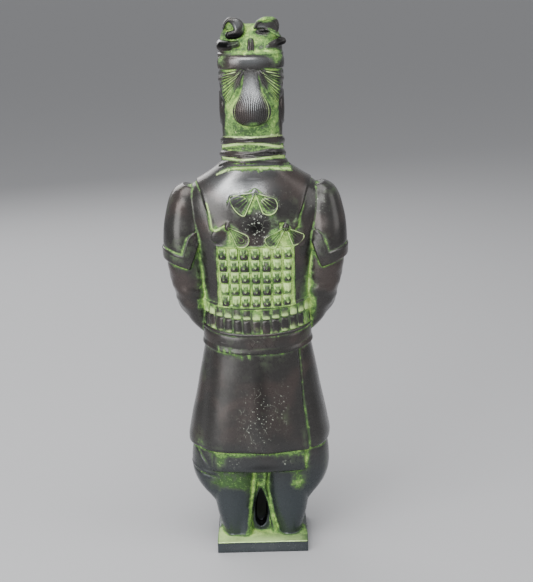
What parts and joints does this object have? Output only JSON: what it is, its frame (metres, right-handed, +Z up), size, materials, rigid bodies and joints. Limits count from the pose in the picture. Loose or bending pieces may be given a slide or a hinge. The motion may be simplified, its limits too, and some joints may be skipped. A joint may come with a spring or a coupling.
{
  "type": "bronze warrior statue",
  "caption": "Standing cast bronze figure of an ancient armoured general on a square base plate, with dark brown metal and green patina in its hollows.",
  "frame": {"origin": "centre of the base plate's flat underside, which the statue rests on", "axes": "+Z up along the figure, -Y the way the figure faces, +X towards the figure's left hand"},
  "size_m": [0.1255, 0.0732, 0.3601],
  "materials": {
    "warrior_statue": "dark brown and black patinated bronze, semi-gloss, with powdery green corrosion in the hollows"
  },
  "bodies": {
    "root": {"warrior_statue": "warrior_statue"}
  },
  "joints": []
}
